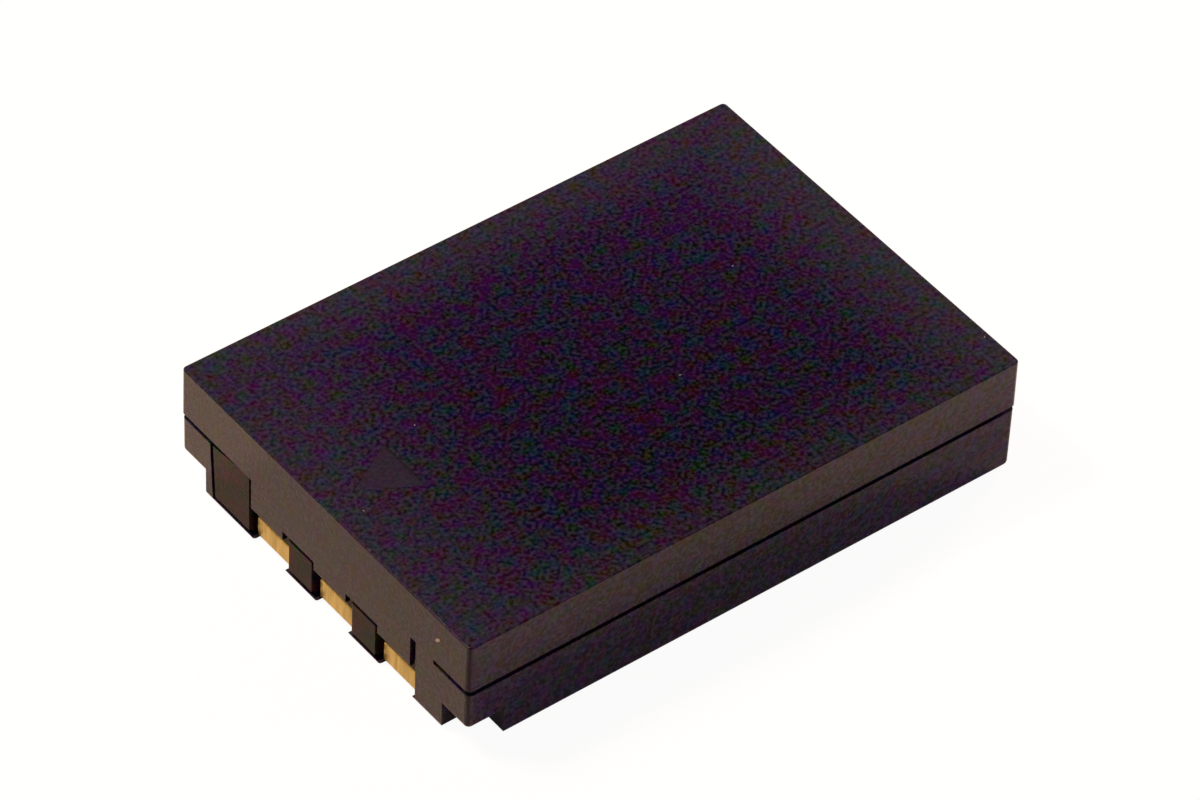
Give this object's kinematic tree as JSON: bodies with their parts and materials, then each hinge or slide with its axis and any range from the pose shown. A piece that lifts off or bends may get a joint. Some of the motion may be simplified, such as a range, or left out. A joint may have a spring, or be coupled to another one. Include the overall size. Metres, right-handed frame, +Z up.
{
  "type": "camera battery",
  "caption": "Flat rectangular camera battery pack in a black two-part case, with recessed gold contacts between ribs at one end and an insertion arrow on top.",
  "frame": {"origin": "centre of the underside's outline", "axes": "+X along the length, away from the contact end; +Y across the width; +Z up through the face with the arrow"},
  "size_m": [0.046, 0.032, 0.0097],
  "materials": {
    "case_plastic": "fine moulded grain",
    "block_plastic": "moulded, darker than the cases",
    "gold_plate": "gold plated",
    "board": "solder resist",
    "chip_mould": "moulded epoxy",
    "chip_ceramic": "fired",
    "can_aluminium": "drawn",
    "nickel": "rolled strip",
    "gasket_plastic": "moulded",
    "insulating_sheet": "pressed sheet",
    "tape": "tissue tape",
    "fuse_polymer": "polymer"
  },
  "bodies": {
    "root": {"upper_case": "case_plastic", "lower_case": "case_plastic", "terminal_block": "block_plastic", "contact_positive": "gold_plate", "contact_thermistor": "gold_plate", "contact_negative": "gold_plate", "circuit_board": "board", "protection_ic": "chip_mould", "mosfet_pair": "chip_mould", "thermistor": "chip_ceramic", "chip_resistors": "chip_ceramic", "chip_capacitors": "chip_ceramic", "cell": "can_aluminium", "rivet_gasket": "gasket_plastic", "negative_rivet": "nickel", "header_insulator": "insulating_sheet", "positive_plate": "nickel", "positive_tab": "nickel", "ptc_chip": "fuse_polymer", "ptc_tab": "nickel", "negative_tab": "nickel", "lower_tape": "tape", "upper_tape": "tape"}
  },
  "joints": []
}
